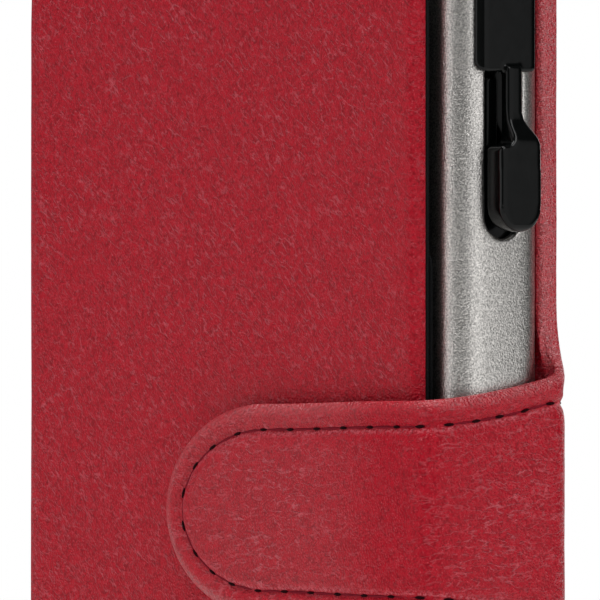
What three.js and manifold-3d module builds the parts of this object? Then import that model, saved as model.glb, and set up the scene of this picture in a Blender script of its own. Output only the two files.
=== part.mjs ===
// A leather card-protector wallet with a magnetic strap, around an aluminium card case with a thumb slider.
// Millimetres, +Z up. While it is being built, X runs from the spine to the thumb slot, Y from the front
// cover to the back panel and Z up from the bottom edge; the last lines move the origin to the middle of
// the base.
import * as THREE from 'three';
import { mergeVertices } from 'three/addons/utils/BufferGeometryUtils.js';
import Module from 'manifold-3d';

const wasm = await Module();
wasm.setup();

// Driving dimensions of the leather.
const WALLET_HEIGHT = 102;
const COVER_WIDTH = 70.2; // spine's outer face to the cover's free edge
const COVER_DEPTH = 2.2;
const BACK_DEPTH = 1.9;
const SPINE_RADIUS = 5; // outer radius of the leather round both spine folds
const PANEL_CORNER = 4; // rounded free corners of the cover and the back panel
const LEATHER = 0.9; // one layer of leather
const TURNED_EDGE = 1.4; // leather turned round a panel's edge
const FOLD_GAP = 0.7; // room that a folding panel leaves for its neighbour
const LAYER_GAP = 0.05; // between glued layers
const BEHIND_PANEL = 2.3; // how far the back panel reaches past the cover's free edge

// Driving dimensions of the card case.
const CASE_WIDTH = 62;
const CASE_DEPTH = 12.35;
const CASE_HEIGHT = 96;
const CASE_CORNER = 3.7;
const CASE_WALL = 1.2;
const CASE_PAST_COVER = 3.2; // the case's narrow side stands this far past the cover's free edge
const CASE_FRONT = 4; // from the cover's outer face
const CASE_BOTTOM = 3;
const SLOT_WIDTH = 4.95;
const SLOT_BOTTOM = 71.25;

// Driving dimensions of the strap.
const STRAP_MIDDLE = 42; // height of its centre line
const STRAP_HEIGHT = 23;
const STRAP_DEPTH = 1.5;
const STRAP_CORNER = 3;
const STRAP_FRONT = -1.6; // its outer face on the front cover
const STRAP_TIP = 28;
const TIP_LENGTH = 18; // length of the tongue's elliptical end
const STRAP_FLARE = 8.5; // how far the strap widens, up and down, where it leaves the back panel

// Places that follow from them.
const caseRight = COVER_WIDTH + CASE_PAST_COVER;
const caseLeft = caseRight - CASE_WIDTH;
const caseBack = CASE_FRONT + CASE_DEPTH;
const caseTop = CASE_BOTTOM + CASE_HEIGHT;
const slotMiddle = CASE_FRONT + CASE_DEPTH / 2;
const innerRight = caseRight - CASE_WALL;
const innerFront = CASE_FRONT + CASE_WALL;
const innerBack = caseBack - CASE_WALL;
const backFace = caseBack + 0.25;
const backOuter = backFace + BACK_DEPTH;
const backEdge = COVER_WIDTH + BEHIND_PANEL;
const foldStart = SPINE_RADIUS + FOLD_GAP; // where the flat panels start beside the spine folds
const strapOuter = caseRight + 0.2 + STRAP_DEPTH;
const strapFoldX = strapOuter - STRAP_CORNER;
const paddleOuter = caseRight + 3.07;

const finishes = {
  leather: { color: 0xa3213a, roughness: 0.5, metalness: 0 },
  lining: { color: 0x16151a, roughness: 0.9, metalness: 0 },
  board: { color: 0x8d8376, roughness: 0.9, metalness: 0 },
  foam: { color: 0xc8c5bd, roughness: 1, metalness: 0 },
  aluminium: { color: 0xc9c8c6, roughness: 0.35, metalness: 1 },
  plastic: { color: 0x0c0d0d, roughness: 0.22, metalness: 0 },
  felt: { color: 0x2b2b2e, roughness: 1, metalness: 0 },
  magnet: { color: 0x4a4644, roughness: 0.6, metalness: 0.3 },
  steel: { color: 0xb8bcc0, roughness: 0.4, metalness: 1 },
};

const wallet = new THREE.Group();

function add(name, geometry, finish) {
  const mesh = new THREE.Mesh(geometry, new THREE.MeshStandardMaterial(finishes[finish]));
  mesh.name = name;
  wallet.add(mesh);
}

// An outline is extruded up from z0 to z1, with its own x and y as X and Y.
function upright(outline, z0, z1, curveSegments = 5) {
  const geometry = new THREE.ExtrudeGeometry(outline, { depth: z1 - z0, bevelEnabled: false, curveSegments });
  return geometry.translate(0, 0, z0);
}

// An outline drawn in X and Z becomes a panel from y0 to y1.
function panel(outline, y0, y1, curveSegments = 5) {
  const geometry = new THREE.ExtrudeGeometry(outline, { depth: y1 - y0, bevelEnabled: false, curveSegments });
  return geometry.rotateX(Math.PI / 2).translate(0, y1, 0);
}

// An outline drawn in Y and Z becomes a solid from x0 to x1.
function sideways(outline, x0, x1, curveSegments = 5) {
  const geometry = new THREE.ExtrudeGeometry(outline, { depth: x1 - x0, bevelEnabled: false, curveSegments });
  const turn = new THREE.Matrix4().makeBasis(
    new THREE.Vector3(0, 1, 0),
    new THREE.Vector3(0, 0, 1),
    new THREE.Vector3(1, 0, 0),
  );
  return geometry.applyMatrix4(turn).translate(x0, 0, 0);
}

function toSolid(geometry) {
  const bare = geometry.clone();
  bare.deleteAttribute('normal');
  bare.deleteAttribute('uv');
  const merged = mergeVertices(bare, 1e-5);
  return new wasm.Manifold(new wasm.Mesh({
    numProp: 3,
    vertProperties: new Float32Array(merged.attributes.position.array),
    triVerts: new Uint32Array(merged.index.array),
  }));
}

function toGeometry(solid) {
  const mesh = solid.getMesh();
  const geometry = new THREE.BufferGeometry();
  geometry.setAttribute('position', new THREE.BufferAttribute(mesh.vertProperties, 3));
  geometry.setIndex(new THREE.BufferAttribute(mesh.triVerts, 1));
  geometry.computeVertexNormals();
  return geometry;
}

const cut = (whole, ...tools) => toGeometry(tools.reduce((left, t) => left.subtract(toSolid(t)), toSolid(whole)));
const common = (a, b) => toGeometry(toSolid(a).intersect(toSolid(b)));
const join = (...pieces) => toGeometry(pieces.map(toSolid).reduce((sum, p) => sum.add(p)));

function block(x0, x1, y0, y1, z0, z1) {
  return new THREE.BoxGeometry(x1 - x0, y1 - y0, z1 - z0)
    .translate((x0 + x1) / 2, (y0 + y1) / 2, (z0 + z1) / 2);
}

function roundedBox(x0, y0, x1, y1, radius) {
  const shape = new THREE.Shape();
  shape.moveTo(x0 + radius, y0);
  shape.absarc(x1 - radius, y0 + radius, radius, -Math.PI / 2, 0);
  shape.absarc(x1 - radius, y1 - radius, radius, 0, Math.PI / 2);
  shape.absarc(x0 + radius, y1 - radius, radius, Math.PI / 2, Math.PI);
  shape.absarc(x0 + radius, y0 + radius, radius, Math.PI, Math.PI * 1.5);
  return shape;
}

// A flat panel that is square beside the spine and has rounded corners on its free edge.
function bookPanel(x0, x1, inset) {
  const low = inset;
  const high = WALLET_HEIGHT - inset;
  const radius = PANEL_CORNER - inset;
  const shape = new THREE.Shape();
  shape.moveTo(x0, low);
  shape.lineTo(x1 - radius, low);
  shape.absarc(x1 - radius, low + radius, radius, -Math.PI / 2, 0);
  shape.absarc(x1 - radius, high - radius, radius, 0, Math.PI / 2);
  shape.lineTo(x0, high);
  return shape;
}

// A band of leather of even thickness, seen from above, that runs round two corners like a C. It starts at
// (flatX, y0), goes round to outerX and comes back to (flatX, y1).
function wrap(flatX, outerX, y0, y1, depth, inset = 0) {
  const side = Math.sign(outerX - flatX);
  const radius = Math.abs(outerX - flatX) - inset;
  const low = y0 + inset + radius;
  const high = y1 - inset - radius;
  const clockwise = side < 0;
  const shape = new THREE.Shape();
  const turn = (centreY, r, from, to, backwards) => {
    const mirrored = (angle) => (side < 0 ? Math.PI - angle : angle);
    shape.absarc(flatX, centreY, r, mirrored(from), mirrored(to), backwards);
  };
  shape.moveTo(flatX, low - radius);
  turn(low, radius, -Math.PI / 2, 0, clockwise);
  turn(high, radius, 0, Math.PI / 2, clockwise);
  shape.lineTo(flatX, high + radius - depth);
  turn(high, radius - depth, Math.PI / 2, 0, !clockwise);
  turn(low, radius - depth, 0, -Math.PI / 2, !clockwise);
  return shape;
}

// The front cover: a leather pan with turned edges, holding padding, board and the magnet's keeper, closed
// by a black textile lining with two card pockets.
function addFrontCover() {
  const outline = bookPanel(foldStart, COVER_WIDTH, 0);
  const hollow = (gap) => bookPanel(foldStart + TURNED_EDGE + gap, COVER_WIDTH - TURNED_EDGE - gap, TURNED_EDGE + gap);
  const padding = LEATHER + LAYER_GAP;
  const board = padding + 0.45;
  const boardDepth = 0.75;
  const pocketGap = 0.1;
  add('front_cover_leather', cut(panel(outline, 0, COVER_DEPTH), panel(hollow(0), LEATHER, COVER_DEPTH + 1)), 'leather');
  add('front_cover_padding', panel(hollow(0.2), padding, padding + 0.4), 'foam');

  const keeper = { x: 43, width: 14, height: 9 };
  const window = (grow) => block(
    keeper.x - keeper.width / 2 - grow, keeper.x + keeper.width / 2 + grow,
    board - (grow ? 1 : 0), board + boardDepth + (grow ? 1 : 0),
    STRAP_MIDDLE - keeper.height / 2 - grow, STRAP_MIDDLE + keeper.height / 2 + grow,
  );
  add('front_cover_board', cut(panel(hollow(0.2), board, board + boardDepth), window(0.2)), 'board');
  add('magnet_keeper', window(0), 'steel');

  const liningFace = COVER_DEPTH + LAYER_GAP;
  add('front_cover_lining', panel(bookPanel(8, COVER_WIDTH - 0.4, 0.6), liningFace, liningFace + 0.4), 'lining');
  const pocketFace = liningFace + 0.4 + pocketGap;
  add('card_pocket_upper', panel(bookPanel(9, COVER_WIDTH - 0.8, 1), pocketFace, pocketFace + 0.4), 'lining');
  const lowerTop = roundedBox(9, 1.2, COVER_WIDTH - 0.8, 70, 2);
  add('card_pocket_lower', panel(lowerTop, pocketFace + 0.4 + pocketGap, pocketFace + 0.8 + pocketGap), 'lining');
}

function addSpine() {
  const band = wrap(SPINE_RADIUS, 0, 0, backOuter, COVER_DEPTH);
  add('spine_leather', upright(band, 0, WALLET_HEIGHT), 'leather');
  const liningFace = COVER_DEPTH + LAYER_GAP;
  add('spine_lining', block(liningFace, liningFace + 0.5, SPINE_RADIUS, backOuter - SPINE_RADIUS, 1.5,
    WALLET_HEIGHT - 1.5), 'lining');
}

// The back panel: the outer leather with turned edges, a board and a leather lining. The strap grows out of
// its free edge, so that edge steps back over the height of the strap's root.
function addBackPanel() {
  const rootHalf = STRAP_HEIGHT / 2 + STRAP_FLARE + 1;
  const rootNotch = block(strapFoldX - FOLD_GAP, backEdge + 1, backFace - 1, backOuter + 1,
    STRAP_MIDDLE - rootHalf, STRAP_MIDDLE + rootHalf);
  const hollow = (gap) => bookPanel(foldStart + TURNED_EDGE + gap, strapFoldX - FOLD_GAP - TURNED_EDGE - gap,
    TURNED_EDGE + gap);
  const leatherInner = backOuter - LEATHER;
  const whole = panel(bookPanel(foldStart, backEdge, 0), backFace, backOuter);
  add('back_panel_leather', cut(whole, rootNotch, panel(hollow(0), backFace - 1, leatherInner)), 'leather');
  add('back_panel_board', panel(hollow(0.2), backFace + 0.5, leatherInner - LAYER_GAP), 'board');
  add('back_panel_lining', panel(hollow(0.15), backFace, backFace + 0.45), 'leather');
  const pad = { left: caseLeft + 7, right: caseRight - 7, inset: 8 };
  add('case_bonding_pad', block(pad.left, pad.right, caseBack + LAYER_GAP, backFace - LAYER_GAP,
    CASE_BOTTOM + pad.inset, caseTop - pad.inset), 'foam');
}

// The strap: its side stretch wraps the case's narrow side and its tongue lies on the front cover.
function addStrap() {
  const low = STRAP_MIDDLE - STRAP_HEIGHT / 2;
  const high = STRAP_MIDDLE + STRAP_HEIGHT / 2;
  const frontStart = STRAP_FRONT + 4;
  const rise = 3.3;
  const sideView = (flare) => {
    const shape = new THREE.Shape();
    shape.moveTo(STRAP_FRONT - 1, low);
    shape.lineTo(frontStart, low);
    shape.quadraticCurveTo(backOuter - 6, low, backOuter - 2, low - rise);
    shape.lineTo(backOuter + 1, low - flare);
    shape.lineTo(backOuter + 1, high + flare);
    shape.lineTo(backOuter - 2, high + rise);
    shape.quadraticCurveTo(backOuter - 6, high, frontStart, high);
    shape.lineTo(STRAP_FRONT - 1, high);
    return shape;
  };
  const room = STRAP_FLARE + 1;
  const band = (depth, inset) => upright(
    wrap(strapFoldX, strapOuter, STRAP_FRONT, backOuter, depth, inset), low - room, high + room,
  );
  add('strap_side_leather', common(band(LEATHER, 0), sideways(sideView(STRAP_FLARE), caseRight - 5, strapOuter + 1)),
    'leather');
  const liningDepth = STRAP_DEPTH - LEATHER - LAYER_GAP;
  const lined = sideways(sideView(STRAP_FLARE - 1), caseRight - 5, strapOuter + 1);
  add('strap_side_lining', common(band(liningDepth, LEATHER + LAYER_GAP), lined), 'leather');

  const tongueStart = strapFoldX - FOLD_GAP;
  const tongue = (inset) => {
    const half = STRAP_HEIGHT / 2 - inset;
    const shape = new THREE.Shape();
    shape.moveTo(tongueStart - inset, STRAP_MIDDLE - half);
    shape.lineTo(tongueStart - inset, STRAP_MIDDLE + half);
    shape.absellipse(STRAP_TIP + TIP_LENGTH, STRAP_MIDDLE, TIP_LENGTH - inset, half, Math.PI / 2, Math.PI * 1.5);
    return shape;
  };
  const skin = 0.65;
  const rimInner = STRAP_FRONT + 1.1;
  const inner = STRAP_FRONT + STRAP_DEPTH;
  add('strap_tongue_leather', cut(
    panel(tongue(0), STRAP_FRONT, rimInner, 8),
    panel(tongue(1.3), STRAP_FRONT + skin, rimInner + 1, 8),
  ), 'leather');
  add('strap_tongue_lining', panel(tongue(0.8), rimInner + LAYER_GAP, inner, 8), 'leather');
  add('strap_magnet', block(37, 49, STRAP_FRONT + skin + LAYER_GAP, rimInner, STRAP_MIDDLE - 4, STRAP_MIDDLE + 4),
    'magnet');
}

// The card case: an extruded aluminium tube with a slot up its narrow side, a plug in its lower end and felt
// on its two wide walls.
function addCase() {
  const outer = roundedBox(caseLeft, CASE_FRONT, caseRight, caseBack, CASE_CORNER);
  const inner = roundedBox(caseLeft + CASE_WALL, innerFront, innerRight, innerBack, CASE_CORNER - CASE_WALL);
  const slotRadius = SLOT_WIDTH / 2;
  const slot = new THREE.Shape();
  slot.moveTo(slotMiddle + slotRadius, caseTop + 1);
  slot.lineTo(slotMiddle - slotRadius, caseTop + 1);
  slot.absarc(slotMiddle, SLOT_BOTTOM + slotRadius, slotRadius, Math.PI, 2 * Math.PI);
  add('aluminium_case', cut(
    upright(outer, CASE_BOTTOM, caseTop, 6),
    upright(inner, CASE_BOTTOM - 1, caseTop + 1, 6),
    sideways(slot, innerRight - 1, caseRight + 1, 8),
  ), 'aluminium');

  const plugGap = 0.12;
  const plug = roundedBox(caseLeft + CASE_WALL + plugGap, innerFront + plugGap, innerRight - plugGap,
    innerBack - plugGap, CASE_CORNER - CASE_WALL - plugGap);
  const flangeTop = CASE_BOTTOM - LAYER_GAP;
  add('case_end_cap', join(upright(outer, 1.6, flangeTop, 4), upright(plug, flangeTop - 0.2, 5.9, 4)), 'plastic');

  const felt = { x0: caseLeft + 9, x1: caseRight - 9, z0: caseTop - 17, z1: caseTop - 4, depth: 0.6 };
  const feltOutline = roundedBox(felt.x0, felt.z0, felt.x1, felt.z1, 2);
  add('felt_strip_front', panel(feltOutline, innerFront + LAYER_GAP, innerFront + felt.depth, 3), 'felt');
  add('felt_strip_back', panel(feltOutline, innerBack - felt.depth, innerBack - LAYER_GAP, 3), 'felt');
}

// The thumb slider's finger, seen on the case's narrow side (Y and Z): a slim arm that widens into a round-
// ended paddle.
function fingerOutline(finger) {
  const shape = new THREE.Shape();
  const left = slotMiddle - finger.paddleWidth / 2;
  const right = slotMiddle + finger.paddleWidth / 2;
  const radius = finger.paddleWidth / 2;
  shape.moveTo(finger.armBack, finger.armTop);
  shape.lineTo(finger.armFront, finger.armTop);
  shape.lineTo(finger.armFront, finger.shoulder + 1.2);
  shape.quadraticCurveTo(finger.armFront - 0.2, finger.shoulder, finger.armFront - 1.2, finger.shoulder);
  shape.lineTo(left + 0.3, finger.shoulder);
  shape.lineTo(left, finger.shoulder - 0.4);
  shape.absarc(slotMiddle, finger.bottom + radius, radius, Math.PI, 2 * Math.PI);
  shape.lineTo(right, finger.shoulder - 0.4);
  shape.bezierCurveTo(right, finger.shoulder + 1.6, finger.armBack, finger.flare - 1.6, finger.armBack, finger.flare);
  return shape;
}

// The same finger seen from the front (X and Z): the arm stands off the case and swells out to the paddle.
function fingerProfile(finger) {
  const outer = paddleOuter - 0.07;
  const shape = new THREE.Shape();
  shape.moveTo(finger.armInner, finger.armTop);
  shape.lineTo(finger.paddleInner, finger.shoulder);
  shape.lineTo(finger.paddleInner, finger.bottom + 1);
  shape.lineTo(finger.paddleInner + 0.5, finger.bottom + 0.3);
  shape.lineTo(outer - 0.5, finger.bottom);
  shape.lineTo(outer, finger.bottom + 0.5);
  shape.quadraticCurveTo(paddleOuter + 0.07, (finger.bottom + finger.shoulder) / 2, outer, finger.shoulder);
  shape.bezierCurveTo(outer, finger.shoulder + 1.4, finger.armOuter, finger.flare - 1.8, finger.armOuter, finger.flare);
  shape.lineTo(finger.armOuter, finger.armTop);
  return shape;
}

// The slider moves as one: the moulded thumb piece outside, the rail inside the case and the stepped tray
// that the cards stand on.
function addSlider() {
  const plate = { bottom: 89.2, top: 98.5, proud: 0.9, width: 6.9, baseWidth: 8.1, corner: 1.2 };
  const finger = {
    armTop: plate.bottom + 0.6,
    armFront: slotMiddle - 0.7,
    armBack: slotMiddle + 1.22,
    armInner: caseRight + 0.37,
    armOuter: caseRight + 1.6,
    paddleWidth: 5.36,
    paddleInner: caseRight + 0.43,
    shoulder: 81.2,
    flare: 84.9,
    bottom: 72,
  };
  const face = caseRight + plate.proud;
  const seat = caseRight + LAYER_GAP;
  const section = new THREE.Shape();
  section.moveTo(face, slotMiddle - plate.width / 2);
  section.lineTo(face, slotMiddle + plate.width / 2);
  section.lineTo(caseRight - 0.2, slotMiddle + plate.baseWidth / 2);
  section.lineTo(seat, slotMiddle + SLOT_WIDTH / 2);
  section.lineTo(seat, slotMiddle - SLOT_WIDTH / 2);
  section.lineTo(caseRight - 0.2, slotMiddle - plate.baseWidth / 2);
  const halfBase = plate.baseWidth / 2;
  const plateOutline = roundedBox(slotMiddle - halfBase, plate.bottom, slotMiddle + halfBase, plate.top, plate.corner);
  const coverPlate = common(
    upright(section, plate.bottom, plate.top),
    sideways(plateOutline, caseRight - 1, face + 1),
  );
  const pushFinger = common(
    sideways(fingerOutline(finger), caseRight, paddleOuter + 1, 6),
    panel(fingerProfile(finger), slotMiddle - 5, slotMiddle + 5, 6),
  );
  const neckHalf = SLOT_WIDTH / 2 - 0.3;
  const railFace = innerRight - 0.2;
  const neck = (z0, z1, x1) => block(railFace + LAYER_GAP, x1, slotMiddle - neckHalf, slotMiddle + neckHalf, z0, z1);
  add('thumb_slider', join(
    coverPlate,
    pushFinger,
    neck(plate.bottom + 0.5, plate.top - 0.5, seat + 0.2),
    neck(76, finger.shoulder - 0.3, finger.paddleInner + 0.3),
  ), 'plastic');

  const trayBottom = 6.2;
  const railHalf = SLOT_WIDTH / 2 - 0.25;
  const ridge = roundedBox(slotMiddle - 1.95, finger.shoulder - 0.25, slotMiddle - 0.5, plate.bottom - 0.6, 0.6);
  add('ejector_rail', join(
    block(railFace - 1.1, railFace, slotMiddle - railHalf, slotMiddle + railHalf, trayBottom, plate.top - 1),
    sideways(ridge, railFace - 0.5, caseRight - 0.6, 3),
  ), 'plastic');

  const steps = 5;
  const stepRise = 2;
  const trayFront = innerFront + 0.9;
  const trayBack = innerBack - 0.9;
  const stepDepth = (trayBack - trayFront) / steps;
  const stairs = new THREE.Shape();
  stairs.moveTo(trayFront, trayBottom);
  stairs.lineTo(trayBack, trayBottom);
  for (let step = steps; step > 0; step -= 1) {
    const height = trayBottom + 1.6 + (step - 1) * stepRise;
    stairs.lineTo(trayFront + step * stepDepth, height);
    stairs.lineTo(trayFront + (step - 1) * stepDepth, height);
  }
  add('ejector_tray', sideways(stairs, caseLeft + CASE_WALL + 1.2, railFace - 1.2), 'plastic');
}

addFrontCover();
addSpine();
addBackPanel();
addStrap();
addCase();
addSlider();

wallet.position.set(-paddleOuter / 2, -(STRAP_FRONT + backOuter) / 2, 0);

export default wallet;
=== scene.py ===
# %% [markdown]
# A leather card-protector wallet: a red hide folded like a book round a blasted aluminium card case, held
# shut by a stitched strap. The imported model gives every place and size, so each piece here is built from the
# boxes of its CAD nodes. Lengths are worked in millimetres and turned into metres when a mesh is made.

import math

import bmesh
import bpy
import numpy as np
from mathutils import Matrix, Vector, noise
from mathutils.geometry import delaunay_2d_cdt
from mathutils.kdtree import KDTree


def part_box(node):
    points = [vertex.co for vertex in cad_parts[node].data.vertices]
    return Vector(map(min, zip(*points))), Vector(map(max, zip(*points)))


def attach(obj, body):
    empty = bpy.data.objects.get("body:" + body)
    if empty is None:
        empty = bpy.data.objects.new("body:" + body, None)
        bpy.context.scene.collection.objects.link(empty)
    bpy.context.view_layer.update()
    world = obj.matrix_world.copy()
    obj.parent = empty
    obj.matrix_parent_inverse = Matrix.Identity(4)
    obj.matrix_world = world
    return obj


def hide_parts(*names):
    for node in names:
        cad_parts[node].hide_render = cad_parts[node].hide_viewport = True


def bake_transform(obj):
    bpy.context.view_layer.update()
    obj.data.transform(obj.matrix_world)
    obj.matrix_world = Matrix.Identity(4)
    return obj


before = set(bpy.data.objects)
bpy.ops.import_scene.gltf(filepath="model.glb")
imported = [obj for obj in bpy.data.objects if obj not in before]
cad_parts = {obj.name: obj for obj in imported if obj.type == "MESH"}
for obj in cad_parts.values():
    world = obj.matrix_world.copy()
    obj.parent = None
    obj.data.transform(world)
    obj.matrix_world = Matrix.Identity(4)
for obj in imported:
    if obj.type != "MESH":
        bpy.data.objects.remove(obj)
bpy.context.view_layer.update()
MM = 0.001


def box(node):
    """A CAD node's lowest and highest corners, in millimetres."""
    return [np.array(corner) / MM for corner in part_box(node)]


cover_low, cover_high = box("front_cover_leather")
spine_low, spine_high = box("spine_leather")
back_low, back_high = box("back_panel_leather")
side_high = box("strap_side_leather")[1]
tongue_low, tongue_high = box("strap_tongue_leather")
case_low, case_high = box("aluminium_case")

# %% [markdown]
# The camera stands level with the wallet's upper half, to the right of the front, so that the cover is seen
# foreshortened and the case's narrow side faces it. A long lens keeps the verticals parallel.

# %% Camera
VIEW_AZIMUTH = math.radians(52)
VIEW_DISTANCE = 2500.0
VIEW_WIDTH = 65.0  # width of the picture at the object, in millimetres
VIEW_TARGET = np.array([2.3, -0.4, 64.7])

camera_data = bpy.data.cameras.new("camera")
camera_data.sensor_width = 36  # millimetres, a full frame
camera_data.lens = camera_data.sensor_width * VIEW_DISTANCE / VIEW_WIDTH
camera = bpy.data.objects.new("camera", camera_data)
bpy.context.scene.collection.objects.link(camera)
towards_camera = np.array([math.sin(VIEW_AZIMUTH), -math.cos(VIEW_AZIMUTH), 0])
camera.location = Vector((VIEW_TARGET + VIEW_DISTANCE * towards_camera) * MM)
camera.rotation_euler = (math.pi / 2, 0, VIEW_AZIMUTH)
bpy.context.scene.camera = camera
print("lens", round(camera_data.lens), "mm")

# %% [markdown]
# Every finish is a node material, and so is the light of the studio. They could be set up by hand in the
# shader editor. Here one function adds a node, with its settings as keywords and its inputs in a dictionary,
# where a value is set and a socket is linked.

# %% A node helper
def add_node(tree, kind, inputs=None, **settings):
    """A shader or geometry node with its settings and its inputs set or linked."""
    made = tree.nodes.new(kind)
    for key, value in settings.items():
        setattr(made, key, value)
    for key, value in (inputs or {}).items():
        if isinstance(value, bpy.types.NodeSocket):
            tree.links.new(value, made.inputs[key])
        else:
            made.inputs[key].default_value = value
    return made

# %% [markdown]
# A product table: a pale floor, a white surround and soft boxes. The metal's corner reflects what stands
# round it, so a large box at the right lights the flat side, and a gap beside it leaves the dark band.

# %% Light and floor
def soft_box(name, place, target, size, watts):
    """A rectangular lamp at a place, in millimetres, aimed at the target."""
    lamp = bpy.data.lights.new(name, "AREA")
    lamp.shape = "RECTANGLE"
    lamp.size, lamp.size_y = (side * MM for side in size)
    lamp.energy = watts
    lamp_object = bpy.data.objects.new(name, lamp)
    bpy.context.scene.collection.objects.link(lamp_object)
    lamp_object.location = Vector(place) * MM
    aim = (Vector(target) - Vector(place)).normalized()
    lamp_object.rotation_euler = aim.to_track_quat("-Z", "Y").to_euler()
    return lamp_object


soft_box("key_box", (-330, -760, 280), (0, 0, 50), (800, 800), 2.9)
soft_box("right_box", (685, 145, 130), (30, 0, 60), (700, 640), 1.05)
soft_box("high_box", (560, 40, 620), (20, 0, 50), (420, 420), 2.6)
soft_box("rear_box", (-420, 640, 330), (0, 0, 50), (600, 600), 2.2)
soft_box("top_box", (-60, -90, 760), (0, 0, 50), (420, 300), 4.2)

DIM_FRONT, DIM_REAR, BACKDROP = 0.16, 0.04, 1.0  # brightness of the studio's walls, and of the white backdrop
world = bpy.data.worlds.new("studio_walls")
bpy.context.scene.world = world
world.use_nodes = True
sky = world.node_tree
seen = add_node(sky, "ShaderNodeLightPath").outputs["Is Camera Ray"]
ray = add_node(sky, "ShaderNodeTexCoord").outputs["Generated"]
toward = add_node(sky, "ShaderNodeSeparateXYZ", {"Vector": ray})
walls = add_node(sky, "ShaderNodeMapRange", {"Value": toward.outputs["Y"], "From Min": 0.2, "From Max": 0.8,
                 "To Min": DIM_FRONT, "To Max": DIM_REAR})
strength = add_node(sky, "ShaderNodeMix", {"Factor": seen, "A": walls.outputs["Result"], "B": BACKDROP})
sky.nodes["Background"].inputs["Color"].default_value = (1, 1, 1, 1)
sky.links.new(strength.outputs["Result"], sky.nodes["Background"].inputs["Strength"])
bpy.context.scene.view_settings.view_transform = "Standard"


def srgb(hex_colour):
    """A hex colour as linear red, green, blue and alpha."""
    values = [int(hex_colour[i:i + 2], 16) / 255 for i in (1, 3, 5)]
    linear = [v / 12.92 if v <= 0.04045 else ((v + 0.055) / 1.055) ** 2.4 for v in values]
    return (*linear, 1)


def link_mesh(name, vertices, faces):
    """A mesh object from vertices in millimetres."""
    mesh = bpy.data.meshes.new(name)
    mesh.from_pydata((np.asarray(vertices) * MM).tolist(), [], [list(map(int, f)) for f in faces])
    made = bpy.data.objects.new(name, mesh)
    bpy.context.scene.collection.objects.link(made)
    return made


FLOOR_RADIUS = 400
turns = np.linspace(0, 2 * math.pi, 65)[:-1]
rim = [(FLOOR_RADIUS * math.cos(a), FLOOR_RADIUS * math.sin(a), -0.05) for a in turns]
floor = link_mesh("floor", rim, [range(64)])
print("lamps", [lamp.name for lamp in bpy.data.lights])

# %% The floor's finish
def new_material(name):
    """A material with an empty Principled surface."""
    material = bpy.data.materials.new(name)
    material.use_nodes = True
    return material, material.node_tree, material.node_tree.nodes["Principled BSDF"]


floor_material, _, floor_surface = new_material("white_table_laminate")
floor_surface.inputs["Base Color"].default_value = srgb("#f2f2f0")
floor_surface.inputs["Roughness"].default_value = 0.6
floor.data.materials.append(floor_material)

# %% [markdown]
# Dyed nappa leather. Its grain is a skin of soft pebbles a third of a millimetre wide, and longer creases run
# between them where the hide was stretched: slanting on the cover, nearly level on the strap. The creases are
# drawn paler, the pebble tops carry a painted highlight and the hollows between them a painted shade. Round a
# tight fold the colour is deeper and the sheen weaker: partly the leather stretched smooth, and partly painted
# shade for the fold's darker turn. Each sheet stores how near a finished edge and how stretched it is.

# %% Red nappa leather
PEBBLE = 0.3  # millimetres across one pebble of the grain
COVER_CREASES = (2.2, 0.75, 40)  # length and spacing of the creases in millimetres, and their slope in degrees
STRAP_CREASES = (2.8, 0.8, -5)


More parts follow.
